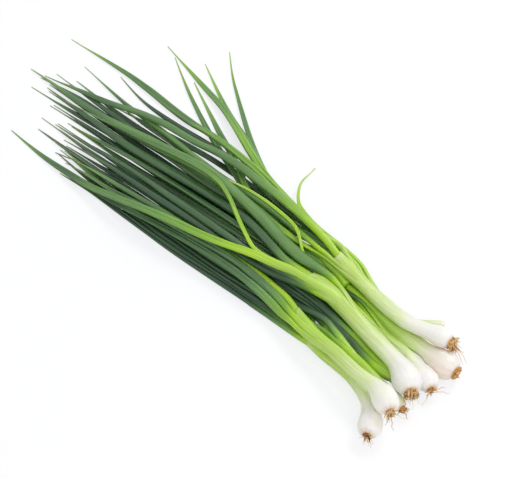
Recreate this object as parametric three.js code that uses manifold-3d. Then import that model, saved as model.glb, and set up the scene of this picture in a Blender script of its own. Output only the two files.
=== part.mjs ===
// A bunch of nine spring onions lying loose on a table. Millimetres, +Z up, +X from the bulbs to the tips.
//
// Each plant is a stem (bulb and leaf sheaths, one closed body), a tuft of roots at its lower end, and the
// leaf blades that leave the sheath near its top. Every stem and leaf is a "rod" that changes size along a
// route: a stem is round, a blade is an oval lying flat. The table below says where each rod runs in plan,
// in the order in which the rods were laid down. settle() works out how high a rod then lies: on the table
// and over the rods under it, bending no tighter than its stiffness allows.
import * as THREE from "three";
import Module from "manifold-3d";
import { mergeVertices } from "three/addons/utils/BufferGeometryUtils.js";

const wasm = await Module();
wasm.setup();

// Driving dimensions.
const GAP = 0.5; // clear space kept between neighbours
const PITCH = 4; // spacing of the points at which a rod's height is worked out
const BEND = 0.006; // the most a blade arches, as drop over distance squared
const STEM_BEND = 0.0015; // the same for a stem, which is stiffer
const SPAN = 7; // half the reach of the smoothing along a rod, in pitches
const PASSES = 6; // times the heights are smoothed and lifted clear again
const CHORD = 0.22; // how far a ring may be left out from the true route
const FLAT = 0.62; // a blade's height over its width
const LEAF_SIDES = 7;
const STEM_SIDES = 10;
const ROOT_END = 3; // radius of a stem where its root plate sits
const ROOTED = 5; // a stem whose bulb is no wider than this has lost its roots
const NECK = 3.2; // where a bulb has drawn in to the sheath, in bulb radii from the root end
const STEM_CLOSE = 14; // length over which a sheath narrows at the fork
const STEM_LOSS = 0.3; // share of its radius that it loses there
const TIP = 0.35; // radius at which a leaf's point closes
const BLADE_START = 0.45; // a side blade's first radius over its full one
const MIDDLE_START = 0.75; // the same for the blade that runs straight on from the stem's end
const BLADE_SWELL = 80; // length in which a blade reaches its full radius
const TAPER_FROM = 0.42; // share of a blade's length at which it starts to thin
const TAPER_POWER = 2.1; // the higher, the longer it stays broad after that
const LEAD = 10; // length in which a blade still runs along its own stem
const LEAN = 0.6; // how far a side blade has moved away from the stem by then
const BELL = 4.5; // how steeply the weights of the smoothing fall off along a rod
const END_POINT = 0.2; // the most that the point closing a tube stands out past its last ring

// Colours, and how rough each surface is.
const FINISHES = {
  stem: { color: 0xd6e6a8, roughness: 0.42 },
  root: { color: 0xb98a55, roughness: 0.85 },
  leaf: { color: 0x5f8a4f, roughness: 0.5 },
};
const materials = Object.fromEntries(
  Object.entries(FINISHES).map(([name, finish]) => [
    name,
    new THREE.MeshStandardMaterial({ ...finish, metalness: 0 }),
  ]),
);

// Stems: the route in plan from the root end to the fork, the bulb's and the stem's radius, and the least
// height of the fork, where leaves pass under it.
const stem = (plant, bulb, radius, route, fork = 0) => ({ plant, bulb, radius, route, fork });
// Leaves: the plant, how far up the stem's route the blade leaves it (1 is its end), on which side of the
// stem (degrees round it: 0 is the -Y side, 90 the top, 180 the +Y side, null straight on from the end),
// half the blade's full width, and its route in plan after that, ending at the tip.
const leaf = (plant, from, side, radius, route) => ({
  plant,
  from,
  side,
  radius,
  route,
});

const PILE = [
  // The stems that lie on the table.
  stem(1, 9, 4.5, [
    [-174, 83], [-169, 72], [-160, 63.5], [-150, 56.5], [-139, 51.5], [-126, 48], [-110, 46],
    [-93, 45],
  ]),
  stem(3, 5.2, 4.4, [[-177.5, 46.5], [-152, 40], [-130, 35], [-88, 24.5]]),
  stem(5, 4.7, 4.3, [[-156, 30], [-138, 26], [-112, 19], [-96, 15.5]]),
  stem(6, 7.8, 4.4, [
    [-184.5, 22], [-178, 17.5], [-168, 13], [-150.5, 8], [-129, 4.5], [-108, 2], [-92, -0.5],
  ]),
  stem(7, 9.4, 5.2, [[-190.5, -0.5], [-173, -1.5], [-118, -8], [-80, -15.5], [-66, -19.5]]),
  stem(9, 3.9, 3.8, [
    [-157, -32.5], [-149, -26.5], [-142, -21], [-134, -18.5], [-115, -18.5], [-95, -22], [-77, -28.5],
  ]),

  // The lowest leaves.
  leaf(7, 0.96, 0, 2.8, [[-50, -24], [0, -26], [100, -28], [174, -27], [217, -29], [262, -25]]),
  leaf(7, 0.92, 90, 2.8, [[-60, -16], [0, -15], [100, -15.5], [180, -16], [245, -18]]),
  leaf(6, 0.92, 20, 2.8, [[-60, -4], [0, -6], [100, -7], [180, -7.5], [232, -6.5]]),
  leaf(9, 0.8, 0, 2.7, [
    [-60, -36], [-40, -38], [-10, -41], [20, -44], [50, -47], [90, -48], [140, -45], [196, -40],
  ]),
  leaf(7, 0.86, 150, 2.7, [[-69, -14.5], [0, -16], [50, -16.5], [100, -18], [150, -20.5], [250, -24]]),
  leaf(1, 1, null, 3, [[-60, 43], [50, 42.5], [140, 41], [171, 42.5]]),
  leaf(1, 0.94, 0, 3.1, [[-60, 37], [0, 37.5], [100, 35.5], [150, 32.5], [189, 28]]),
  leaf(3, 1, null, 3.1, [[-76, 24], [-60, 24.5], [0, 24.5], [50, 24.5], [100, 23.5], [220, 19]]),
  leaf(3, 0.95, 30, 2.8, [[-60, 21.5], [0, 22], [100, 21.5], [150, 22.5], [190, 29]]),
  leaf(3, 0.9, 180, 3.1, [
    [-77, 27], [-60, 29], [0, 31], [50, 31], [100, 29.5], [150, 27], [184, 24],
  ]),
  leaf(5, 1, null, 3.1, [[-70, 11], [50, 12.5], [150, 11], [227, 8]]),
  leaf(5, 0.3, 180, 3.1, [
    [-118, 28], [-92, 22.5], [-70, 19], [0, 18.5], [50, 18.5], [150, 16.5], [189, 17.5],
  ]),
  leaf(6, 0.55, 175, 3.1, [[-100, 8], [-86, 7], [-70, 5], [50, 6], [212, 4]]),
  leaf(6, 1, null, 3.1, [[-70, -2.5], [-50, -1], [0, 0], [201, -1]]),
  leaf(7, 1, null, 3.1, [[-50, -22], [0, -23], [100, -31], [150, -34], [236, -42]]),
  leaf(6, 0.82, 0, 3.1, [[-85, -6.5], [-70, -8], [-50, -7], [50, -6.5], [150, -7], [230, -9]]),
  leaf(7, 0.9, 180, 3, [[-69, -12.5], [150, -13.5], [260, -12]]),
  leaf(7, 0.98, 180, 3, [[-52, -17.5], [50, -20], [100, -23], [150, -27], [200, -33], [255, -37]]),
  leaf(9, 1, null, 2.5, [
    [-48, -36.5], [-8, -46.5], [31, -58.5], [53, -69.5], [78, -85.5], [108, -108], [137, -131], [161, -154],
  ]),
  leaf(9, 0.94, 180, 2.7, [[-50, -31], [-8, -40], [30, -53.5], [62, -72], [116, -99], [167, -129]]),
  leaf(3, 0.86, 90, 3.1, [[-60, 27], [0, 28], [50, 27.5], [150, 24], [200, 21]]),
  leaf(5, 0.84, 130, 3.1, [[-70, 15], [50, 15.5], [100, 14.5], [160, 12], [205, 9]]),
  leaf(6, 0.9, 90, 3, [[-70, -3], [0, -3.5], [100, -3.5], [160, -2.5], [206, -1.5]]),
  leaf(3, 0.8, 140, 2.9, [[-60, 33.5], [0, 34], [50, 34], [100, 33], [150, 29.5], [188, 25]]),
  leaf(7, 0.97, 40, 2.6, [
    [-40, -26], [0, -30], [40, -38], [66, -48], [93, -61], [137, -84], [161, -98], [192, -118],
  ]),
  leaf(9, 0.9, 120, 3, [[-50, -28], [0, -28.5], [40, -30.5], [118, -36], [150, -39.5], [190, -44]]),
  leaf(9, 0.94, 90, 3.3, [[-51, -34], [-24, -41], [40, -58.5], [114.5, -95], [137, -103], [206, -124]]),
  leaf(9, 0.84, 60, 1.7, [[-40, -38], [-20, -43], [-3, -50], [6, -60], [13, -72], [18, -96]]),

  // The upper stems.
  stem(8, 7.3, 5.2, [
    [-175, -13.5], [-163.5, -13], [-154, -11], [-138, -9], [-96, -14.5], [-78, -18], [-62, -23],
  ], 18),
  stem(4, 9.8, 6.2, [
    [-178, 38], [-168, 30.5], [-158, 25], [-136, 19], [-114, 13.5], [-92, 9], [-75, 7], [-57, 6],
  ], 19),
  stem(2, 9.4, 5, [
    [-179, 64.5], [-169.5, 58.5], [-158, 54.5], [-139, 52.5], [-117, 47.5], [-94, 43], [-82, 39],
    [-71, 34.5],
  ]),

  // The upper leaves.
  leaf(2, 1, null, 2.9, [[-53, 27.5], [-31, 25.5], [0, 24], [110, 27], [175, 27]]),
  leaf(2, 0.86, 180, 3.2, [[-65, 42.5], [-54, 40], [-32, 37], [0, 35.5], [102, 39], [178, 38]]),
  leaf(2, 0.95, 150, 3.2, [[-47, 32.5], [-20, 30], [2, 29.5], [60, 33], [175, 32]]),
  leaf(4, 0.86, 180, 3, [
    [-63, 16], [-15, 21], [20, 21], [60, 20.5], [110, 18.5], [160, 15], [195, 14],
  ]),
  leaf(4, 0.95, 180, 3, [[-55, 12.5], [0, 17], [50, 15], [160, 7], [213, 6]]),
  leaf(4, 1, null, 4, [
    [-47, 6.5], [-35, 4], [-11, -2.5], [20, -9.5], [50, -10], [100, -9], [160, -11], [249, -20],
  ]),
  leaf(8, 0.9, 180, 2.6, [[-50, -17], [-10, -19], [12, -23.5], [38, -35], [63, -52], [159, -106]]),
  leaf(8, 0.95, 180, 3.2, [
    [-48, -19.5], [-34, -22.5], [-3, -27], [57, -30], [96, -33.5], [149, -42], [243, -59],
  ]),
  leaf(8, 0.86, 0, 2.9, [[-50, -31], [0, -38.5], [102, -56], [174, -60.5], [211, -70]]),
  leaf(8, 0.95, 0, 3.8, [
    [-43, -31], [2, -43], [30, -50.5], [62, -55.5], [112, -64], [171, -72], [207, -75.5], [276, -76],
  ]),
  leaf(8, 1, null, 4.2, [
    [-51, -27], [9, -39.5], [34, -43.5], [68, -46.5], [111, -46], [152, -42.5], [199, -37], [261, -29],
  ]),
  leaf(4, 0.94, -10, 1.6, [
    [-50, -4.5], [-41, -9], [-33, -15], [-21, -24], [-10, -27], [26, -29.5], [62, -28], [76, -30.5],
  ]),
  leaf(4, 0.8, 20, 5, [
    [-68, 1.5], [-46, -2.5], [-28, -6.5], [-9, -11.5], [12, -17], [36, -20.5], [78, -24],
    [110, -24.5], [181, -22], [276, -27],
  ]),
  leaf(4, 0.97, 130, 2.5, [
    [-45, 10], [-22, 14], [-10, 13.5], [0, 8.5], [23, -4.6], [41, -14], [59, -19], [222, -16],
  ]),
  leaf(4, 0.97, 180, 3.8, [
    [-47, 13.5], [-30, 16.5], [-12, 20], [29.5, 30.5], [59, 34.5], [98, 39], [138, 40.5],
    [198, 38.5], [236, 34.5],
  ]),
];

const smooth = (t) => t * t * (3 - 2 * t);
const ramp = (t) => smooth(Math.min(1, Math.max(0, t)));

// A stem's radius at a distance from its root end: a round bulb that draws in to the neck, a sheath of
// even thickness, and an end that narrows where the blades leave it.
function stemRadius(rod, at, length) {
  const belly = rod.bulb;
  const neck = belly * NECK;
  if (at < belly) return ROOT_END + (rod.bulb - ROOT_END) * Math.sqrt(1 - (1 - at / belly) ** 2);
  const sheath = rod.radius + (rod.bulb - rod.radius) * (1 - ramp((at - belly) / (neck - belly)));
  return sheath * (1 - STEM_LOSS * ramp(1 + (at - length) / STEM_CLOSE));
}

// A blade's radius: it swells out of the sheath, keeps its width, then thins to a point.
function leafRadius(rod, at, length) {
  const first = rod.side === null ? MIDDLE_START : BLADE_START;
  const swell = first + (1 - first) * ramp(at / BLADE_SWELL);
  const t = Math.max(0, (at / length - TAPER_FROM) / (1 - TAPER_FROM));
  return Math.max(TIP, rod.radius * swell * (1 - t ** TAPER_POWER));
}

// Points at an even pitch along a smooth curve in plan.
function planPoints(route) {
  const curve = new THREE.CatmullRomCurve3(
    route.map(([x, y]) => new THREE.Vector3(x, y, 0)),
    false,
    "centripetal",
  );
  const count = Math.round(curve.getLength() / PITCH);
  return curve.getSpacedPoints(count);
}

// How high each point of a rod must be to clear the table and every rod laid before it.
function clearance(points, radii, flat, laid) {
  const least = radii.map((radius) => radius * flat);
  const reach = (x, y, radius) => {
    let height = radius * flat;
    for (const other of laid) {
      const far = radius + other.widest + GAP;
      if (x < other.min.x - far || x > other.max.x + far) continue;
      if (y < other.min.y - far || y > other.max.y + far) continue;
      for (const q of other.fine) {
        const apart = Math.hypot(x - q.x, y - q.y) / (radius + q.radius + GAP);
        const tall = radius * flat + q.radius * other.flat + GAP;
        if (apart < 1) height = Math.max(height, q.z + tall * Math.sqrt(1 - apart * apart));
      }
    }
    return height;
  };
  points.forEach((p, i) => {
    least[i] = Math.max(least[i], reach(p.x, p.y, radii[i]));
    if (i === 0) return;
    const back = points[i - 1];
    const between = reach((p.x + back.x) / 2, (p.y + back.y) / 2, (radii[i] + radii[i - 1]) / 2);
    least[i] = Math.max(least[i], between);
    least[i - 1] = Math.max(least[i - 1], between);
  });
  return least;
}

// The heights of a rod draped on those obstacles. It arches over each one no tighter than its bend allows,
// and the hollows between are smoothed. held gives the height and slope where a blade grows out of a stem.
function settle(least, bend, held) {
  const raised = least.slice();
  let z = least;
  for (let pass = 0; pass < PASSES; pass++) {
    z = soften(arches(raised, bend, held), held);
    least.forEach((low, i) => (raised[i] += Math.max(0, low - z[i])));
  }
  return z.map((height, i) => Math.max(height, least[i]));
}

function arches(least, bend, held) {
  const drop = (steps) => bend * (steps * PITCH) ** 2;
  return least.map((_, i) => {
    const from = held ? held.height + held.slope * i * PITCH - drop(i) : 0;
    return least.reduce((top, low, j) => Math.max(top, low - drop(i - j)), from);
  });
}

// A running average whose weights fall off smoothly. Past either end the line is taken to turn about it.
function soften(z, held) {
  const n = z.length;
  const at = (i) => (i < 0 ? 2 * z[0] - z[-i] : i >= n ? 2 * z[n - 1] - z[2 * n - 2 - i] : z[i]);
  return z.map((own, i) => {
    if (held && i === 0) return own;
    let [sum, weights] = [0, 0];
    for (let k = -SPAN; k <= SPAN; k++) {
      const weight = Math.exp(-BELL * (k / SPAN) ** 2);
      sum += weight * (at(i + k) ?? own);
      weights += weight;
    }
    return sum / weights;
  });
}

// A rod's axis as {x, y, z, radius} at the even pitch, laid on what is there already.
function lay(rod, stems, laid) {
  const blade = rod.side !== undefined;
  let route = rod.route;
  let held = null;
  if (blade) {
    const axis = stems.get(rod.plant).axis;
    const start = springFrom(rod, axis);
    held = { height: start.z, slope: start.slope };
    const next = [
      start.x + LEAD * start.along[0] + LEAN * start.out[0],
      start.y + LEAD * start.along[1] + LEAN * start.out[1],
    ];
    route = [[start.x, start.y], next, ...rod.route.filter(([x]) => x > next[0] + PITCH)];
  }
  const points = planPoints(route);
  const length = PITCH * (points.length - 1);
  const radiusAt = blade ? leafRadius : stemRadius;
  const radii = points.map((_, i) => radiusAt(rod, i * PITCH, length));
  const under = rod.side === null ? laid.filter((other) => other.plant !== rod.plant || other.blade) : laid;
  const least = clearance(points, radii, blade ? FLAT : 1, under);
  if (!blade) least[least.length - 1] = Math.max(least.at(-1), rod.fork);
  const heights = settle(least, blade ? BEND : STEM_BEND, held);
  return points.map((p, i) => ({ x: p.x, y: p.y, z: heights[i], radius: radii[i] }));
}

// Where a blade leaves its stem, and the way the stem points there.
function springFrom(rod, axis) {
  const last = axis.length - 1;
  const i = Math.min(last - 1, Math.round(rod.from * last));
  const [p, q] = [axis[i], axis[i + 1]];
  const run = Math.hypot(q.x - p.x, q.y - p.y);
  const along = [(q.x - p.x) / run, (q.y - p.y) / run];
  const slope = (q.z - p.z) / run;
  if (rod.side === null) {
    const end = axis[last];
    const [x, y] = [end.x + along[0] * GAP, end.y + along[1] * GAP];
    return { x, y, z: end.z + slope * GAP, along, slope, out: [0, 0] };
  }
  const turn = THREE.MathUtils.degToRad(rod.side);
  const out = p.radius + rod.radius * BLADE_START + GAP;
  const across = out * Math.cos(turn);
  return {
    x: p.x + along[1] * across,
    y: p.y - along[0] * across,
    z: p.z + out * Math.sin(turn),
    along,
    slope,
    out: [along[1] * Math.cos(turn), -along[0] * Math.cos(turn)],
  };
}

// What later rods need to know of one that has been laid.
function obstacle(rod, axis) {
  const blade = rod.side !== undefined;
  const fine = [];
  axis.forEach((p, i) => {
    fine.push(p);
    const q = axis[i + 1];
    if (q) fine.push(mix(p, q, 0.5));
  });
  return {
    fine,
    plant: rod.plant,
    blade,
    flat: blade ? FLAT : 1,
    widest: Math.max(...axis.map((p) => p.radius)),
    min: { x: Math.min(...axis.map((p) => p.x)), y: Math.min(...axis.map((p) => p.y)) },
    max: { x: Math.max(...axis.map((p) => p.x)), y: Math.max(...axis.map((p) => p.y)) },
  };
}

const mix = (p, q, t) => ({
  x: p.x + (q.x - p.x) * t,
  y: p.y + (q.y - p.y) * t,
  z: p.z + (q.z - p.z) * t,
  radius: p.radius + (q.radius - p.radius) * t,
});

// Keeps only the points that the shape needs, within CHORD of the full route.
function thin(axis) {
  const [p, q] = [axis[0], axis[axis.length - 1]];
  let worst = 0;
  let at = 0;
  axis.forEach((s, i) => {
    const m = mix(p, q, i / (axis.length - 1));
    const off = Math.hypot(s.x - m.x, s.y - m.y, s.z - m.z, s.radius - m.radius);
    if (off > worst) [worst, at] = [off, i];
  });
  if (worst < CHORD || axis.length < 3) return [p, q];
  return [...thin(axis.slice(0, at + 1)).slice(0, -1), ...thin(axis.slice(at))];
}

// A closed tube round an axis, with a centre point at each end.
function tube(axis, sides, flat = 1) {
  const centres = axis.map((p) => new THREE.Vector3(p.x, p.y, p.z));
  const vertices = [centres[0].clone()];
  let across = new THREE.Vector3(0, 0, 1);
  centres.forEach((c, i) => {
    const along = centres[Math.min(i + 1, centres.length - 1)]
      .clone()
      .sub(centres[Math.max(i - 1, 0)])
      .normalize();
    across = across.clone().addScaledVector(along, -across.dot(along)).normalize();
    const other = new THREE.Vector3().crossVectors(along, across);
    for (let k = 0; k < sides; k++) {
      const turn = (2 * Math.PI * k) / sides;
      vertices.push(
        c
          .clone()
          .addScaledVector(across, axis[i].radius * flat * Math.cos(turn))
          .addScaledVector(other, axis[i].radius * Math.sin(turn)),
      );
    }
  });
  const tipAlong = centres.at(-1).clone().sub(centres.at(-2)).normalize();
  const beyond = Math.min(END_POINT, axis.at(-1).radius / 2);
  vertices.push(centres.at(-1).clone().addScaledVector(tipAlong, beyond));
  const ring = (i, k) => 1 + i * sides + (k % sides);
  const faces = [];
  for (let k = 0; k < sides; k++) {
    faces.push(0, ring(0, k + 1), ring(0, k));
    for (let i = 0; i + 1 < centres.length; i++) {
      faces.push(ring(i, k), ring(i, k + 1), ring(i + 1, k + 1));
      faces.push(ring(i, k), ring(i + 1, k + 1), ring(i + 1, k));
    }
    faces.push(vertices.length - 1, ring(centres.length - 1, k), ring(centres.length - 1, k + 1));
  }
  return new THREE.BufferGeometry().setFromPoints(vertices).setIndex(faces);
}

const solid = (geometry) => {
  const merged = mergeVertices(geometry, 1e-4);
  return new wasm.Manifold(
    new wasm.Mesh({
      numProp: 3,
      vertProperties: merged.attributes.position.array,
      triVerts: new Uint32Array(merged.index.array),
    }),
  );
};

// The root plate under a bulb and a few stout roots, joined in one body, pointing along -X of its own
// frame. The roots start in a ring on the plate, sunk into it, and spread as they thin towards their ends.
const ROOTS = {
  plate: 2.6,
  thick: 1.8,
  gap: 0.3,
  strands: 5,
  length: 8.5,
  radius: 0.85,
  ring: 1.3,
  sunk: 0.6,
  spread: 0.28,
  squash: 0.6,
  taper: 0.65,
};
function rootTuft() {
  const plate = [0, 0.35, 1].map((t) => ({
    x: -t * ROOTS.thick,
    y: 0,
    z: 0,
    radius: ROOTS.plate * (1 - 0.25 * t),
  }));
  let body = solid(tube(plate, 8));
  for (let k = 0; k < ROOTS.strands; k++) {
    const turn = (2 * Math.PI * (k + 0.3)) / ROOTS.strands;
    const long = ROOTS.length * (0.7 + 0.3 * Math.cos(2.4 * k));
    const strand = [0, 0.5, 1].map((t) => {
      const out = ROOTS.ring + ROOTS.spread * long * t * t;
      return {
        x: -ROOTS.sunk - long * t,
        y: out * Math.cos(turn),
        z: out * Math.sin(turn) * ROOTS.squash,
        radius: ROOTS.radius * (1 - ROOTS.taper * t),
      };
    });
    body = body.add(solid(tube(strand, 5)));
  }
  const mesh = body.getMesh();
  return new THREE.BufferGeometry()
    .setAttribute("position", new THREE.BufferAttribute(new Float32Array(mesh.vertProperties), 3))
    .setIndex(new THREE.BufferAttribute(new Uint32Array(mesh.triVerts), 1));
}

// A mesh whose own origin is the rod's first point.
function rodMesh(name, axis, sides, flat, material) {
  const [start] = axis;
  const local = thin(axis).map((p) => ({
    x: p.x - start.x,
    y: p.y - start.y,
    z: p.z - start.z,
    radius: p.radius,
  }));
  const mesh = new THREE.Mesh(tube(local, sides, flat), material);
  mesh.name = name;
  mesh.position.set(start.x, start.y, start.z);
  return mesh;
}

function rootMesh(name, axis) {
  const mesh = new THREE.Mesh(rootTuft(), materials.root);
  const [end, next] = axis;
  const along = new THREE.Vector3(next.x - end.x, next.y - end.y, next.z - end.z).normalize();
  mesh.name = name;
  mesh.quaternion.setFromUnitVectors(new THREE.Vector3(1, 0, 0), along);
  mesh.position.set(end.x, end.y, end.z).addScaledVector(along, -ROOTS.gap);
  return mesh;
}

const bunch = new THREE.Group();
const plants = new Map();
const stems = new Map();
const counts = new Map();
const laid = [];
for (const rod of PILE) {
  const axis = lay(rod, stems, laid);
  laid.push(obstacle(rod, axis));
  const name = `onion_${rod.plant}`;
  if (rod.side === undefined) {
    stems.set(rod.plant, { axis });
    const group = new THREE.Group();
    plants.set(rod.plant, group);
    bunch.add(group);
    group.add(rodMesh(`${name}_stem`, axis, STEM_SIDES, 1, materials.stem));
    if (rod.bulb > ROOTED) group.add(rootMesh(`${name}_roots`, axis));
  } else {
    const number = (counts.get(rod.plant) ?? 0) + 1;
    counts.set(rod.plant, number);
    plants.get(rod.plant).add(rodMesh(`${name}_leaf_${number}`, axis, LEAF_SIDES, FLAT, materials.leaf));
  }
}

// The part's origin is the middle of its footprint, on the table.
bunch.updateMatrixWorld(true);
const box = new THREE.Box3().setFromObject(bunch);
const middle = box.getCenter(new THREE.Vector3());
bunch.position.set(-middle.x, -middle.y, -box.min.z);

export default bunch;
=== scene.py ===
"""A bunch of spring onions on a white table. Metres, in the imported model's frame.

Each CAD rod gives its own centre line and width; the pieces here are grown along those lines.
"""

import math
import re

import bpy
import numpy as np
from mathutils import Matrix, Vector


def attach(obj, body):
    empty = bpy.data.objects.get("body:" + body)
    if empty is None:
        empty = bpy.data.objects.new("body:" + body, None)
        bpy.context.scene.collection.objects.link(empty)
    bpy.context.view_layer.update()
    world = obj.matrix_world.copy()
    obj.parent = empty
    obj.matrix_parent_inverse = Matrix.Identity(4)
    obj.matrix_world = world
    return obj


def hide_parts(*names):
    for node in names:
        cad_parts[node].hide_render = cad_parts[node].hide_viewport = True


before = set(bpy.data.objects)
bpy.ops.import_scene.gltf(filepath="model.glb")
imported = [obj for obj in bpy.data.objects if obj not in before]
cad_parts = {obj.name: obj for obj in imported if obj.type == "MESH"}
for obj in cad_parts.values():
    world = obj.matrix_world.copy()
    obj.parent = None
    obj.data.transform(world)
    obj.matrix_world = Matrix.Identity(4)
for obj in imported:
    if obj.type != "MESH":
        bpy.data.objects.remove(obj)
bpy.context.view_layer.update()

MM = 0.001
TURN = 2 * math.pi
UP = np.array([0, 0, 1.0])

# The camera: its direction and distance from the point that it looks at.
AZIMUTH, ELEVATION, DISTANCE = 220.6, 50.0, 1.2
TARGET = Vector((-0.0380, 0.0305, 0.012))
LENS, SENSOR = 110.1, 36.0

TABLE = 0.1 * MM  # the least height of any point of the bunch
PAPER = -0.3 * MM  # height of the white paper under it
WHITE_FROM, WHITE_BY = 0.35, 0.9  # where the paper fades to plain white, from the origin

# How finely the rods are built.
STEP = 2.2 * MM
LEAF_SIDES = 36
STEM_SIDES = 56

# How a blade joins its stem.
FOOT = 26 * MM  # length of a side blade's foot, which hugs the stem
INSERT = 16 * MM  # how far the middle blade reaches down into the sheath
BLEND = 45 * MM  # length over which a stem and its middle blade are bent to meet
# The collar is drawn paler: partly its own paler tone, partly a painted highlight.
COLLAR = 12 * MM  # length of the paler, slanted collar at the top of a stem
# How the rim turns in round the middle blade: each ring's share of the rim's width, and mm back down.
TURNED_IN = ((0.95, -0.25), (0.88, 0.2), (0.8, 7))
UNROLL = 60 * MM  # length in which a blade turns to lie flat


# ---------------------------------------------------------------- node trees

class Nodes:
    """Short names for making and linking the nodes of an emptied tree."""

    def __init__(self, tree):
        self.tree = tree
        tree.nodes.clear()

    def add(self, kind, **inputs):
        node = self.tree.nodes.new(kind)
        for name, value in inputs.items():
            self.set(node.inputs[name.replace("_", " ")], value)
        return node

    def set(self, socket, value):
        if isinstance(value, bpy.types.NodeSocket):
            self.tree.links.new(value, socket)
        else:
            socket.default_value = value

    def link(self, a, b):
        self.tree.links.new(a, b)

    def math(self, operation, a, b=0.0, clamp=False):
        node = self.tree.nodes.new("ShaderNodeMath")
        node.operation, node.use_clamp = operation, clamp
        self.set(node.inputs[0], a)
        self.set(node.inputs[1], b)
        return node.outputs[0]

    def fit(self, value, low, high, to_low=0.0, to_high=1.0):
        node = self.add("ShaderNodeMapRange", Value=value)
        node.inputs["From Min"].default_value = low
        node.inputs["From Max"].default_value = high
        node.inputs["To Min"].default_value = to_low
        node.inputs["To Max"].default_value = to_high
        node.interpolation_type = "SMOOTHSTEP"
        return node.outputs[0]

    def swing(self, value, reach):
        """A noise value turned into a swing of reach on both sides of nothing."""
        return self.math("MULTIPLY", self.math("SUBTRACT", value, 0.5), 2 * reach)

    def attribute(self, name, output="Fac"):
        node = self.tree.nodes.new("ShaderNodeAttribute")
        node.attribute_name = name
        return node.outputs[output]

    def noise(self, vector, scale, detail=2.0, rough=0.5):
        node = self.add("ShaderNodeTexNoise", Vector=vector, Scale=scale, Detail=detail,
                        Roughness=rough)
        return node.outputs["Fac"]

    def stretched(self, vector, x, y, z):
        node = self.tree.nodes.new("ShaderNodeVectorMath")
        node.operation = "MULTIPLY"
        self.set(node.inputs[0], vector)
        node.inputs[1].default_value = (x, y, z)
        return node.outputs[0]

    def ramp(self, value, stops):
        node = self.add("ShaderNodeValToRGB", Fac=value)
        marks = node.color_ramp.elements
        while len(marks) < len(stops):
            marks.new(0.5)
        for mark, (at, colour) in zip(marks, stops):
            mark.position, mark.color = at, (*linear(colour), 1)
        return node.outputs["Color"]

    def mix(self, fac, a, b, blend="MIX"):
        node = self.tree.nodes.new("ShaderNodeMix")
        node.data_type, node.blend_type = "RGBA", blend
        self.set(node.inputs[0], fac)
        for socket, value in ((node.inputs[6], a), (node.inputs[7], b)):
            self.set(socket, (*linear(value), 1) if isinstance(value, int) else value)
        return node.outputs[2]

    def grey(self, value):
        node = self.tree.nodes.new("ShaderNodeCombineColor")
        for socket in node.inputs[:3]:
            self.set(socket, value)
        return node.outputs[0]

    def choose(self, share, first, second, output):
        """Mixes two shaders and links the result to an output node."""
        mix = self.add("ShaderNodeMixShader", Fac=share)
        self.link(first.outputs[0], mix.inputs[1])
        self.link(second.outputs[0], mix.inputs[2])
        self.link(mix.outputs[0], self.add(output).inputs["Surface"])


def linear(code):
    """A colour written as 0xRRGGBB in linear light."""
    parts = [((code >> shift) & 255) / 255 for shift in (16, 8, 0)]
    return [c / 12.92 if c <= 0.04045 else ((c + 0.055) / 1.055) ** 2.4 for c in parts]


# ---------------------------------------------------------------- camera, light and floor

def direction(azimuth, elevation):
    a, e = math.radians(azimuth), math.radians(elevation)
    return Vector((math.sin(a) * math.cos(e), -math.cos(a) * math.cos(e), math.sin(e)))


def place(name, data, back, distance):
    """Puts a camera or lamp at a distance from the target, looking at it."""
    thing = bpy.data.objects.new(name, data)
    thing.location = TARGET + back * distance
    thing.rotation_euler = (-back).to_track_quat("-Z", "Y").to_euler()
    bpy.context.scene.collection.objects.link(thing)
    return thing


def make_camera():
    data = bpy.data.cameras.new("camera")
    data.lens, data.sensor_width = LENS, SENSOR
    data.clip_start, data.clip_end = 0.05, 20
    back = direction(AZIMUTH, ELEVATION)
    bpy.context.scene.camera = place("camera", data, back, DISTANCE)


def make_lamp(name, azimuth, elevation, distance, size, watts):
    data = bpy.data.lights.new(name, "AREA")
    data.shape, data.size, data.energy = "DISK", size, watts
    place(name, data, direction(azimuth, elevation), distance)


def make_light():
    """Even light from all round, a key behind the bunch to the viewer's right, a broad fill in front."""
    world = bpy.data.worlds.new("studio")
    world.use_nodes = True
    tree = Nodes(world.node_tree)
    sky = tree.add("ShaderNodeBackground", Color=(0.98, 0.985, 1, 1), Strength=0.66)
    seen = tree.add("ShaderNodeBackground", Color=(1, 1, 1, 1), Strength=1.0)
    path = tree.add("ShaderNodeLightPath")
    both = tree.math("MAXIMUM", path.outputs["Is Camera Ray"], path.outputs["Is Glossy Ray"])
    tree.choose(both, sky, seen, "ShaderNodeOutputWorld")
    bpy.context.scene.world = world
    bpy.context.scene.view_settings.view_transform = "Standard"
    make_lamp("key", AZIMUTH + 135, 50, 1.5, 0.45, 6.8)
    make_lamp("fill", AZIMUTH + 25, 40, 1.8, 1.4, 6.4)


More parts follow.
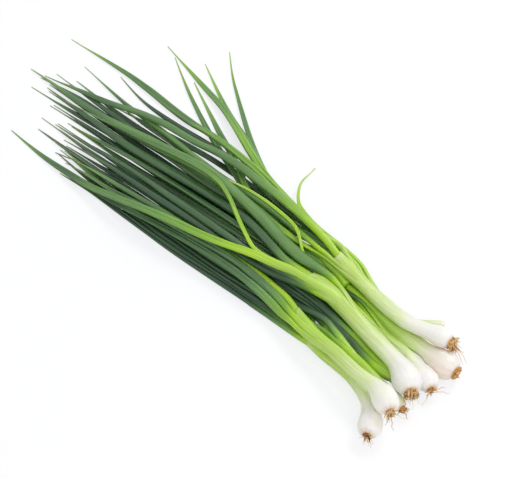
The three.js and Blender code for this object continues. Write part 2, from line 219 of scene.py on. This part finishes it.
def make_floor():
    """White paper. The camera sees it paler than it is, so that the shadow on it is faint."""
    half = 3.0
    corners = [(-half, -half), (half, -half), (half, half), (-half, half)]
    mesh = bpy.data.meshes.new("floor")
    mesh.from_pydata([(x, y, PAPER) for x, y in corners], [], [(0, 1, 2, 3)])
    floor = bpy.data.objects.new("floor", mesh)
    bpy.context.scene.collection.objects.link(floor)
    mat = bpy.data.materials.new("floor")
    mat.use_nodes = True
    tree = Nodes(mat.node_tree)
    paper = tree.add("ShaderNodeBsdfDiffuse", Color=(0.93, 0.94, 0.96, 1))
    faint = tree.add("ShaderNodeBsdfDiffuse", Color=(0.32, 0.31, 0.30, 1))
    glow = tree.add("ShaderNodeEmission", Color=(0.695, 0.705, 0.725, 1), Strength=1.0)
    both = tree.add("ShaderNodeAddShader")
    tree.link(faint.outputs[0], both.inputs[0])
    tree.link(glow.outputs[0], both.inputs[1])
    far = tree.add("ShaderNodeVectorMath", Vector=tree.add("ShaderNodeNewGeometry").outputs["Position"])
    far.operation = "LENGTH"
    white = tree.add("ShaderNodeEmission", Color=(1, 1, 1, 1), Strength=1.0)
    fading = tree.add("ShaderNodeMixShader", Fac=tree.fit(far.outputs["Value"], WHITE_FROM, WHITE_BY))
    tree.link(both.outputs[0], fading.inputs[1])
    tree.link(white.outputs[0], fading.inputs[2])
    path = tree.add("ShaderNodeLightPath")
    tree.choose(path.outputs["Is Camera Ray"], paper, fading, "ShaderNodeOutputMaterial")
    floor.data.materials.append(mat)


# ---------------------------------------------------------------- reading the CAD rods

def merged(mesh):
    """The mesh's corner points with doubles joined, and which of them share an edge."""
    co = np.array([v.co for v in mesh.vertices])
    keys, of = np.unique(np.round(co / (2e-3 * MM)).astype(np.int64), axis=0, return_inverse=True)
    of = of.ravel()
    points = np.zeros((len(keys), 3))
    points[of] = co
    near = [set() for _ in keys]
    for edge in mesh.edges:
        a, b = (of[i] for i in edge.vertices)
        if a != b:
            near[a].add(b)
            near[b].add(a)
    return points, near


def read_rod(node):
    """A CAD rod's centre line and half widths, from its first ring to its last."""
    points, near = merged(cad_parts[node].data)
    most = max(len(n) for n in near)
    poles = [i for i, n in enumerate(near) if len(n) == most]
    first = min(poles, key=lambda i: points[i][0])
    seen, ring, rings = {first}, {first}, []
    while ring:
        ring = {j for i in ring for j in near[i]} - seen
        seen |= ring
        if len(ring) == most:
            rings.append(points[list(ring)])
    centres = np.array([r.mean(0) for r in rings])
    halves = np.array([np.linalg.norm(r - c, axis=1).max() for r, c in zip(rings, centres)])
    return Line(centres, halves)


class Line:
    """A smooth curve through points, with a value at each, read by distance along it."""

    def __init__(self, points, values):
        self.at = np.concatenate([[0], np.cumsum(np.linalg.norm(np.diff(points, axis=0), axis=1))])
        self.data = np.column_stack([points, values])
        slopes = np.diff(self.data, axis=0) / np.diff(self.at)[:, None]
        spans = np.diff(self.at)[:, None]
        inner = (slopes[:-1] * spans[1:] + slopes[1:] * spans[:-1]) / (spans[1:] + spans[:-1])
        self.slope = np.vstack([slopes[:1], inner, slopes[-1:]])
        self.length = self.at[-1]

    def __call__(self, s):
        """Points and values at distances s. Past the ends the line runs straight on."""
        s = np.atleast_1d(s)
        i = np.clip(np.searchsorted(self.at, s) - 1, 0, len(self.at) - 2)
        span = (self.at[i + 1] - self.at[i])[:, None]
        t = np.clip((s - self.at[i])[:, None] / span, 0, 1)
        h = [2 * t**3 - 3 * t**2 + 1, t**3 - 2 * t**2 + t, 3 * t**2 - 2 * t**3, t**3 - t**2]
        out = (h[0] * self.data[i] + h[1] * span * self.slope[i]
               + h[2] * self.data[i + 1] + h[3] * span * self.slope[i + 1])
        over = np.minimum(s, 0) + np.maximum(s - self.length, 0)
        ends = np.where((s < 0)[:, None], self.slope[0], self.slope[-1])
        out[:, :3] += (over[:, None] * ends)[:, :3]
        return out[:, :3], out[:, 3]

    def bent(self, start, end, shift):
        """The line with a shift that grows from nothing at start to all of it at end."""
        s = np.append(np.arange(0, self.length - STEP / 2, STEP), self.length)
        points, values = self(s)
        return Line(points + ramp((s - start) / (end - start))[:, None] * shift, values)

    def nearest(self, point):
        s = np.arange(0, self.length, MM)
        return s[np.argmin(np.linalg.norm(self(s)[0] - point, axis=1))]


# ---------------------------------------------------------------- shaping

def ramp(t):
    t = np.clip(t, 0, 1)
    return t * t * (3 - 2 * t)


def unit(v):
    return v / np.linalg.norm(v, axis=-1, keepdims=True)


def wave(s, seed, period):
    """A slow random-looking swing between about -1 and 1, fixed by its seed."""
    r = np.random.default_rng(seed)
    out = np.zeros_like(np.asarray(s, float))
    for k in range(4):
        out = out + math.sin(1.7 * k + 1) ** 2 * np.sin(
            TURN * (s / period * (0.6 + 0.5 * k) * r.uniform(0.8, 1.2) + r.uniform()))
    return out / 2.2


def frames(centres, start):
    """Two directions across the line at each point, carried along without twist."""
    along = unit(np.gradient(centres, axis=0))
    across, ups = start, []
    for a in along:
        across = unit(across - a * np.dot(across, a))
        ups.append(across)
    ups = np.array(ups)
    return np.cross(ups, along), ups


def around(sides):
    return (np.arange(sides) / sides * TURN)[None, :]


def spread(centres, side, up, x, y):
    """Rings of points at x along side and y along up from their centres."""
    return centres[:, None, :] + x[..., None] * side[:, None, :] + y[..., None] * up[:, None, :]


class Skin:
    """The vertices, faces and attributes of one piece while it is being made."""

    def __init__(self):
        self.points, self.faces, self.marks, self.count = [], [], [], 0

    def tube(self, rings, rise, growth=0.0, age=0.0):
        """Joins rings of points into a skin that ends in a middle point at each end."""
        rings[..., 2] = np.maximum(rings[..., 2], TABLE)
        count, sides = rings.shape[:2]
        angle = around(sides)
        marks = np.zeros((count, sides, 5))
        marks[..., 0], marks[..., 1], marks[..., 2] = np.cos(angle), np.sin(angle), rise[:, None]
        marks[..., 3], marks[..., 4] = growth, age
        poles = [(rings[i].mean(0), marks[i].mean(0)) for i in (0, -1)]
        k = np.arange(sides)
        after = (k + 1) % sides
        low = self.count + np.arange(count - 1)[:, None] * sides
        walls = np.stack([low + k, low + after, low + sides + after, low + sides + k], -1)
        self.faces += walls.reshape(-1, 4).tolist()
        top, pole = self.count + (count - 1) * sides, self.count + count * sides
        self.faces += [(pole, a, b) for a, b in zip(self.count + after, self.count + k)]
        self.faces += [(pole + 1, a, b) for a, b in zip(top + k, top + after)]
        self.points += [rings.reshape(-1, 3), *(p[None] for p, _ in poles)]
        self.marks += [marks.reshape(-1, 5), *(m[None] for _, m in poles)]
        self.count += count * sides + 2

    def piece(self, name, material, slot, *nodes):
        mesh = bpy.data.meshes.new(name)
        mesh.from_pydata(np.concatenate(self.points).tolist(), [], self.faces)
        mesh.polygons.foreach_set("use_smooth", [True] * len(mesh.polygons))
        marks = np.concatenate(self.marks)
        grain = mesh.attributes.new("grain", "FLOAT_VECTOR", "POINT")
        grain.data.foreach_set("vector", marks[:, :3].ravel())
        for key, column in (("growth", 3), ("age", 4)):
            made = mesh.attributes.new(key, "FLOAT", "POINT")
            made.data.foreach_set("value", marks[:, column])
        mesh.materials.append(material)
        obj = bpy.data.objects.new(name, mesh)
        bpy.context.scene.collection.objects.link(obj)
        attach(obj, "root")
        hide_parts(*nodes)


# ---------------------------------------------------------------- materials

# From a bulb's white foot, up the sheath, to the dull green of a full blade. The darkest stop, at 1.00, is
# mostly reached by painted shade on blades that lie low in the pile.
GROWTH = (
    (0.00, 0xfaf6f2), (0.08, 0xf6f4e9), (0.18, 0xe2efba), (0.31, 0xc6e078), (0.42, 0xb2d850),
    (0.52, 0xb0da2e), (0.62, 0x8aba36), (0.74, 0x709e4a), (0.87, 0x527a44), (1.00, 0x2e4f30),
)
HUSK = ((0.3, 0xe2c6ac), (0.5, 0xefdccb), (0.7, 0xf6ebe1))  # papery skin on a bulb
STRAW = ((0.3, 0xb4ac74), (0.5, 0xd2cca0), (0.7, 0xe9e4cc))  # dry tips of the blades
ROOT = ((0.0, 0x5a3414), (0.2, 0xa8702c), (0.45, 0xd09a50), (0.75, 0xe6c68e), (1.0, 0xf4e8cc))


def surface(name, build, **options):
    mat = bpy.data.materials.new(name)
    mat.use_nodes = True
    tree = Nodes(mat.node_tree)
    shader = tree.add("ShaderNodeBsdfPrincipled")
    build(tree, shader, **options)
    tree.link(shader.outputs[0], tree.add("ShaderNodeOutputMaterial").inputs["Surface"])
    return mat


def plant_surface(tree, shader, dry, sheen, soft, scale):
    """Living skin: green by growth, with lengthwise fibres and veins, going dry with age."""
    grain = tree.attribute("grain", "Vector")
    fibres = tree.noise(tree.stretched(grain, 1, 1, 7), 3.2, 3, 0.6)
    veins = tree.noise(tree.stretched(grain, 1, 1, 2), 16, 2, 0.5)
    cloud = tree.noise(tree.stretched(grain, 0.5, 0.5, 36), 2.0, 3, 0.6)
    stage = tree.math("ADD", tree.attribute("growth"), tree.swing(cloud, 0.07))
    stage = tree.math("ADD", stage, tree.swing(fibres, 0.09))
    green = tree.ramp(stage, GROWTH)
    light = tree.math("MULTIPLY", tree.fit(fibres, 0.3, 0.7, 0.90, 1.09),
                      tree.fit(veins, 0.3, 0.7, 0.86, 1.10))
    marked = tree.fit(tree.attribute("growth"), 0.02, 0.3, 0.3, 1.0)
    streaky = tree.mix(marked, green, tree.mix(1.0, green, tree.grey(light), "MULTIPLY"))
    dried = tree.ramp(fibres, dry)
    patchy = tree.math("ADD", tree.attribute("age"), tree.swing(cloud, 0.25), True)
    worn = tree.math("MULTIPLY", patchy, tree.fit(tree.attribute("age"), 0.0, 0.1))
    tree.set(shader.inputs["Base Color"], tree.mix(worn, streaky, dried))
    tree.set(shader.inputs["Roughness"], tree.fit(cloud, 0.3, 0.7, 0.28, 0.42))
    shader.inputs["Specular IOR Level"].default_value = sheen
    if soft:
        tree.set(shader.inputs["Subsurface Weight"],
                 tree.fit(tree.attribute("growth"), 0.08, 0.26, soft, 0.0))
    shader.inputs["Subsurface Radius"].default_value = (1.0, 0.95, 0.6)
    shader.inputs["Subsurface Scale"].default_value = scale
    bump = tree.add("ShaderNodeBump", Strength=0.4, Distance=0.0003, Height=veins)
    tree.set(shader.inputs["Normal"], bump.outputs[0])


def root_surface(tree, shader):
    grain = tree.attribute("grain", "Vector")
    fibre = tree.noise(tree.stretched(grain, 1, 1, 300), 3, 3, 0.6)
    tone = tree.math("ADD", tree.attribute("age"), tree.swing(fibre, 0.22))
    tree.set(shader.inputs["Base Color"], tree.ramp(tone, ROOT))
    shader.inputs["Roughness"].default_value = 0.8
    bump = tree.add("ShaderNodeBump", Strength=0.5, Distance=0.0003, Height=fibre)
    tree.set(shader.inputs["Normal"], bump.outputs[0])


# ---------------------------------------------------------------- stems

GREENING = ([0, 16, 34, 58, 84, 120], [0.0, 0.10, 0.36, 0.64, 0.84, 1.0])  # mm up a stem, share
# Per plant: by how many mm it is ahead of that, and how green its sheath gets on the growth scale.
# For plants 3, 5, 6 and 7 the value is set greener as painted shade, since those stems lie low and shaded
# in the pile.
SHEATHS = {
    1: (2, 0.47), 2: (7, 0.46), 3: (20, 0.66), 4: (-4, 0.40), 5: (52, 0.68), 6: (-2, 0.58),
    7: (0, 0.56), 8: (-4, 0.37), 9: (28, 0.48),
}
# Plants whose bulb keeps some papery skin: how much, and up to what height on a scale of -1 to 1.
HUSKY = {7: (0.75, 0.9), 8: (0.7, 0.2)}
# Plants with a loose outer skin: how much wider it makes the stem, and up to how many mm.
LOOSE = {7: (0.26, 45), 6: (0.16, 45), 8: (0.12, 45), 4: (0.14, 110)}


def stem_growth(plant, s):
    ahead, most = SHEATHS[plant]
    return most * np.interp(s / MM + ahead, *GREENING)


def stem_radius(line, s):
    """Radius up a stem: a round foot to the bulb's belly, then what the CAD rod has."""
    foot, belly = line(0)[1][0], line.data[:, 3].max()
    low = np.clip(s / belly, 0, 1)
    rounded = foot + (belly - foot) * np.sqrt(1 - (1 - low) ** 2)
    return np.where(s < belly, rounded, line(s)[1])


def stem_relief(plant, line, s, angle):
    """The sheaths' lengthwise ridges as shares of the radius, fainter on a round bulb."""
    def swing(seed, period):
        return wave(s, plant + seed, period * MM)[:, None]

    relief = (0.020 * np.sin(2 * angle + plant + 2 * swing(0, 60))
              + 0.014 * np.sin(5 * angle + 1.3 * plant + 3 * swing(50, 40))
              + 0.010 * np.sin(11 * angle + 4 * swing(90, 120)))
    swollen = ramp(line.data[:, 3].max() / line.data[-1, 3] - 1)
    plain = 1 - 0.75 * swollen * (1 - ramp(s / (30 * MM) - 0.6))
    return relief * plain[:, None] * ramp(s / (7 * MM))[:, None]


def stem_rings(plant, line, s):
    """Rings up a stem, then the ones that turn in at its rim."""
    centres = line(s)[0]
    side, up = frames(centres, UP)
    angle = around(STEM_SIDES)
    radius = stem_radius(line, s)[:, None] * (1 + stem_relief(plant, line, s, angle))
    extra, reach = LOOSE.get(plant, (0, 1))
    loose = 1 + extra * (ramp(s / (12 * MM)) * (1 - ramp((s / MM - reach) / 45)))[:, None]
    rings = spread(centres, side, up, loose * radius * np.cos(angle), radius * np.sin(angle))
    # The open rim is slanted and a little torn.
    slant = 3.2 * np.cos(angle - 1.3 * plant) + 0.35 * np.sin(7 * angle + plant)
    onward = unit(centres[-1] - centres[-3])
    rings += (rim(line, s)[:, None] * slant * MM)[..., None] * onward
    middle = centres[-1]
    inner = [(rings[-1] - middle) * share + middle - onward * back * MM for share, back in TURNED_IN]
    return np.concatenate([rings, np.array(inner)])


def rim(line, s):
    """How far into the collar at the top of a stem each ring is, from 0 to 1."""
    return ramp((s - line.length) / COLLAR + 1)


def stem_husk(plant, s):
    """How papery a stem is at each point: its husk, and the dry edge of its root plate."""
    share, height = HUSKY.get(plant, (0, 0))
    low = 1 - ramp((np.sin(around(STEM_SIDES)) + 0.45 - height) / 0.9)
    husk = share * low * (1 - ramp((s / MM - 14) / 26))[:, None]
    return np.maximum(husk, 0.8 * (1 - ramp(s / (2.5 * MM)))[:, None])


def make_stem(plant, line, material):
    s = np.concatenate([np.linspace(0, 8 * MM, 16)[:-1], np.arange(8 * MM, line.length - MM, STEP),
                        [line.length]])
    # The collar is drawn paler towards the rim: partly its own tone, partly a painted highlight.
    growth = stem_growth(plant, s) - 0.12 * rim(line, s)
    # The rings that turn in at the rim have the last ring's values.
    rings_of = np.append(np.arange(len(s)), [len(s) - 1] * len(TURNED_IN))
    skin = Skin()
    skin.tube(stem_rings(plant, line, s), s[rings_of] + 0.5 * plant, growth[rings_of][:, None],
              stem_husk(plant, s)[rings_of])
    skin.piece(f"stem_{plant}", material, "sheath", f"onion_{plant}_stem")


# ---------------------------------------------------------------- blades

# How green a blade gets (the growth scale above) and in how many mm, for the ones that stand out.
# Painted shade: the entries that reach 0.9 to 1.0 within 20 to 50 mm darken blades that lie in the shaded
# gaps of the pile; the rest are a blade's own green.
TONES = {
    (4, 7): (0.80, 190), (4, 6): (0.90, 260), (4, 4): (0.50, 40), (9, 6): (0.54, 60),
    (9, 5): (0.64, 90), (9, 2): (0.68, 80), (9, 3): (0.66, 90), (8, 1): (0.70, 90),
    (7, 7): (0.70, 90), (8, 4): (0.71, 170), (8, 5): (0.84, 130), (8, 3): (0.92, 60),
    (2, 1): (0.88, 170), (2, 3): (0.90, 50), (4, 5): (0.80, 25), (4, 1): (1.0, 30),
    (4, 2): (0.95, 30), (4, 3): (0.95, 50), (3, 1): (1.0, 30), (3, 4): (1.0, 20),
    (5, 2): (1.0, 20), (5, 3): (1.0, 20), (6, 4): (1.0, 30), (7, 3): (1.0, 30),
}
# Blades drawn slimmer than their rod, by how much.
SLIM = {
    (4, 4): 0.85, (4, 6): 0.72, (4, 7): 0.88, (8, 2): 0.86, (8, 3): 0.88, (8, 4): 0.82,
    (8, 5): 0.90, (9, 2): 0.80, (7, 7): 0.88, (1, 1): 0.88,
}


def blade_section(along, seed, face, wide, thick):
    """A hollow blade's section: an oval, flatter and creased on one face, finely ribbed."""
    angle = around(LEAF_SIDES)
    x, y = np.cos(angle), np.sin(angle)
    flat = ramp(face * y * 1.5) * ramp(along / (70 * MM))[:, None]
    fold = 0.5 * np.exp(-((x - 0.3 * wave(along, seed + 7, 180 * MM)[:, None]) / 0.22) ** 2)
    y = y * (1 - 0.3 * flat) - face * fold * flat
    ribs = 1 + 0.020 * np.cos(9 * angle + seed) + 0.03 * np.sin(
        3 * angle + 2.5 * wave(along, seed + 3, 90 * MM)[:, None])
    return wide[:, None] * x * ribs, thick[:, None] * y * ribs


def rolled(x, y, turn):
    c, s = np.cos(turn)[:, None], np.sin(turn)[:, None]
    return x * c - y * s, x * s + y * c


def unroll(side, up, along):
    """The turn at each ring that brings a blade from facing out of its stem to lying flat."""
    goal = np.arctan2(-(side @ UP), up @ UP)
    goal = (goal + math.pi / 2) % math.pi - math.pi / 2
    goal = np.unwrap(goal, period=math.pi)
    return goal * ramp(along / UNROLL)


def foot_rings(stem, s, out, thin):
    """Rings of a thin crescent that lies on the stem and wraps part of the way round it."""
    centres, radius = stem(s)
    side, up = frames(centres, out)
    angle = around(LEAF_SIDES)
    wrap = 1.15 * np.cos(angle)
    reach = radius[:, None] + np.where(np.sin(angle) > 0, thin[:, None], 0.9 * MM) * np.sin(angle)
    return spread(centres, side, up, reach * np.sin(wrap), reach * np.cos(wrap))


def blade_growth(begin, final, pace, along, low, left, middle):
    """How green a blade is: from its stem's green to its own, darker low in the pile as painted shade,
    paler at the tip.
    """
    growth = begin + (final - begin) * ramp((along / MM + 10) / (pace + 10)) ** (1.2 if middle else 0.8)
    # Painted shade: a blade low in the pile is drawn darker green, where the pile's shade falls on it.
    growth = growth + 0.13 * low * ramp(along / (30 * MM))
    return growth - 0.2 * ramp(1 - left / (80 * MM))


def blade_size(plant, number, line, base, along, low, middle, r):
    """Half of a blade's width and of its thickness: fuller low in the pile, where more of it is hidden."""
    full = line.data[:, 3].max()
    swell = ramp((along + (0 if middle else 12 * MM)) / (50 * MM))
    fat = 1 + 0.06 * wave(along, 100 * plant + number + 1, 120 * MM)
    taper = np.where(along > 60 * MM, np.minimum(1, line(along)[1] / full), 1)
    fat = fat * (0.95 + 0.25 * low * ramp(along / (12 * MM))) * SLIM.get((plant, number), 1)
    first = (0.86 * base, 0.84 * base) if middle else (0.80 * full, 0.45 * full)
    wide = (first[0] * (1 - swell) + 1.07 * full * swell) * fat * taper
    thick = (first[1] * (1 - swell) + r.uniform(0.66, 0.8) * full * swell) * taper
    return wide, thick


def make_blade(plant, number, line, stem, material):
    seed = 100 * plant + number
    r = np.random.default_rng(seed)
    start = line(0)[0][0]
    s0 = stem.nearest(start)
    middle = s0 > stem.length - 3 * MM
    out = UP if middle else unit(start - stem(s0)[0][0])
    away = np.linalg.norm(start - stem(s0)[0][0])
    foot = INSERT if middle else FOOT + 2.0 * max(0, away - stem(s0)[1][0])
    along = np.concatenate([np.arange(-foot, -STEP / 2, STEP), np.arange(0, line.length - MM, STEP),
                            [line.length]])
    centres = line(along)[0]
    if middle:
        lead = along < 0
        centres[lead] = stem(stem.length + along[lead])[0] + line(0)[0] - stem(stem.length)[0]
    base = stem(stem.length if middle else s0)[1][0]
    # How low in the pile each ring lies: it makes the blade fuller, and darker green as painted shade.
    low = 1 - ramp((centres[:, 2] - 3 * MM) / (5 * MM))
    wide, thick = blade_size(plant, number, line, base, along, low, middle, r)
    side, up = frames(centres, out)
    turn = unroll(side, up, along) + 0.5 * wave(along, seed, 260 * MM) * ramp(along / (80 * MM))
    x, y = rolled(*blade_section(along, seed, r.choice([-1, 1, 1, 1]), wide, thick), turn)
    rings = spread(centres, side, up, x, y)
    if not middle:
        lift = ramp((along + foot) / (foot + 8 * MM))
        on = along < 8 * MM
        thin = (0.85 * lift - 0.25) * MM
        hug = foot_rings(stem, s0 + along[on], out, thin[on])
        share = lift[on][:, None, None]
        rings[on] = hug * (1 - share) + rings[on] * share
    under = np.clip(s0 + along, 0, stem.length)
    begin = max(0.5, SHEATHS[plant][1]) if middle else stem_growth(plant, under)
    final, pace = TONES.get((plant, number), (r.uniform(0.78, 0.95), r.uniform(60, 100)))
    left = line.length - along
    growth = blade_growth(begin, final, pace, along, low, left, middle)
    age = 0.12 * ramp(1 - left / (70 * MM)) + 0.5 * ramp(1 - left / (r.uniform(3, 10) * MM)) ** 1.5
    skin = Skin()
    skin.tube(rings, along + 0.5 * seed, growth[:, None], age[:, None])
    skin.piece(f"leaf_{plant}_{number}", material, "blade", f"onion_{plant}_leaf_{number}")


# ---------------------------------------------------------------- roots

DARK_SHARE = 0.28  # share of the roots that are dark
# Per plant, in mm: the plate's radius, how many stubs and how many fine roots it has, their greatest
# length, and the tones of the dark ones and the pale ones. Then the loose roots: heading in plan in
# degrees, length, drop, tone.
ROOTS = {
    1: (2.8, 16, 14, 4.5, (0.1, 0.6), [(150, 8, 3, 0.9), (110, 5, 3, 0.7)]),
    2: (3.0, 18, 18, 6, (0.3, 0.75), [(215, 11, 7, 0.95), (140, 10, 8, 0.45), (105, 8, 6, 0.6)]),
    3: (2.2, 12, 8, 5, (0.1, 0.5), [(150, 8, 2, 0.35)]),
    4: (5.0, 60, 34, 6, (0.15, 0.78), [(190, 8, 6, 0.95), (140, 8, 8, 0.95)]),
    6: (2.8, 12, 8, 4, (0.05, 0.45), [(221, 14, 4, 0.9), (95, 12, 5, 0.85), (240, 11, 1, 0.6)]),
    7: (5.4, 6, 6, 2, (0.35, 0.7), []),
    8: (4.6, 40, 28, 8, (0.15, 0.7), [(185, 14, 12, 0.8), (175, 12, 14, 0.75), (200, 9, 8, 0.6)]),
}


def strand(skin, points, thick, tone):
    """One root: a thin tube through points, which lies on the table where they go below it."""
    points[:, 2] = np.maximum(points[:, 2], 0.5 * MM)
    sides, t = 6, np.linspace(0, 1, len(points))
    side, up = frames(points, unit(np.array([0.3, 0.5, 0.8])))
    radius = (thick * (1 - 0.6 * t))[:, None]
    angle = around(sides)
    rings = spread(points, side, up, radius * np.cos(angle), radius * np.sin(angle))
    skin.tube(rings, t * 10 * MM, 0.0, tone)


def root_plate(skin, end, down, side, up, radius, r):
    """The worn disc under a bulb, with a raised rim and a paler, hollow middle."""
    depth = np.array([-1.5, -0.3, 0.7, 1.3, 1.2, 0.7]) * MM
    size = np.array([0.96, 1.04, 1.0, 0.8, 0.55, 0.3]) * radius
    angle = around(18)
    rough = size[:, None] * (1 + 0.07 * r.standard_normal((6, 18)))
    lump = 0.25 * MM * r.standard_normal((6, 18))
    rings = spread(end + down * depth[:, None], np.repeat(side[None], 6, 0), np.repeat(up[None], 6, 0),
                   rough * np.cos(angle), rough * np.sin(angle)) + lump[..., None] * down
    tone = np.array([0.75, 0.45, 0.3, 0.25, 0.5, 0.7])[:, None] + 0.12 * r.standard_normal((6, 18))
    skin.tube(rings, depth, 0.0, tone)


def make_roots(plant, stem, material):
    r = np.random.default_rng(plant)
    plate, stubs, fine, longest, (dark, pale), loose = ROOTS[plant]
    (end, inner), _ = stem(np.array([0, 3 * MM]))
    down = unit(end - inner)
    up = unit(UP - down * (UP @ down))
    side = np.cross(up, down)
    skin = Skin()
    root_plate(skin, end, down, side, up, plate * MM, r)
    t = np.linspace(0, 1, 9)
    for number in range(stubs + fine):
        stub = number < stubs
        long = r.uniform(0.3, 0.6) * longest * MM if stub else r.uniform(0.5, 1) * longest * MM
        thick = r.uniform(0.5, 0.9) * MM if stub else r.uniform(0.2, 0.35) * MM
        turn, out = r.uniform(0, TURN), math.sqrt(r.random()) * 0.9
        radial = math.cos(turn) * side + math.sin(turn) * up
        lean = 0.8 * out + r.uniform(-0.3, 0.3)
        curl = r.uniform(-1, 1, 3) * 1.4 * MM
        points = (end + np.outer(0.6 * MM + long * t * (1 - 0.35 * abs(lean)), down)
                  + np.outer(out * plate * MM + lean * long * t**1.3, radial)
                  + np.outer(np.sin(t * r.uniform(2, 6)), curl) - np.outer(0.35 * long * t**2, UP))
        tone = dark if r.random() < DARK_SHARE else pale
        strand(skin, points, thick, tone + r.uniform(-0.1, 0.1))
    for heading, long, drop, tone in loose:
        a = math.radians(heading)
        out = np.array([math.cos(a), math.sin(a), 0])
        t = np.linspace(0, 1, 15)
        sway = np.cross(out, UP) * MM
        points = (end + np.outer(1.2 * MM * np.minimum(1, 4 * t), down) + np.outer(long * MM * t, out)
                  + np.outer(1.3 * wave(t, plant * heading, 0.8) * t, sway)
                  - np.outer(drop * MM * t**1.4, UP))
        strand(skin, points, 0.42 * MM, tone)
    skin.piece(f"roots_{plant}", material, "root", f"onion_{plant}_roots")


# ---------------------------------------------------------------- the bunch

def read_plants():
    """Each plant's stem and its blades by number, as lines."""
    stems, blades = {}, {}
    for node in sorted(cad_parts):
        kind = re.fullmatch(r"onion_(\d+)_(stem|leaf)_?(\d*)", node)
        if kind and kind[2] == "stem":
            stems[int(kind[1])] = read_rod(node)
        elif kind:
            blades.setdefault(int(kind[1]), {})[int(kind[3])] = read_rod(node)
    return stems, blades


def meet(stem, blades):
    """Bends a stem's end and its middle blade's start by half the step between them each."""
    end = stem.data[-1, :3]
    number = min(blades, key=lambda n: np.linalg.norm(blades[n].data[0, :3] - end))
    step = blades[number].data[0, :3] - end
    shift = step - unit(step) * 0.5 * MM
    blades[number] = blades[number].bent(BLEND, 0, -0.5 * shift)
    return stem.bent(stem.length - BLEND, stem.length, 0.5 * shift)


def grow_bunch():
    sheath = surface("sheath", plant_surface, dry=HUSK, sheen=0.5, soft=0.7, scale=6 * MM)
    blade = surface("blade", plant_surface, dry=STRAW, sheen=0.6, soft=0.0, scale=1 * MM)
    brown = surface("roots", root_surface)
    stems, blades = read_plants()
    for plant, line in stems.items():
        line = meet(line, blades[plant])
        make_stem(plant, line, sheath)
        for number, leaf in blades[plant].items():
            make_blade(plant, number, leaf, line, blade)
        if plant in ROOTS:
            make_roots(plant, line, brown)


make_camera()
make_light()
make_floor()
grow_bunch()
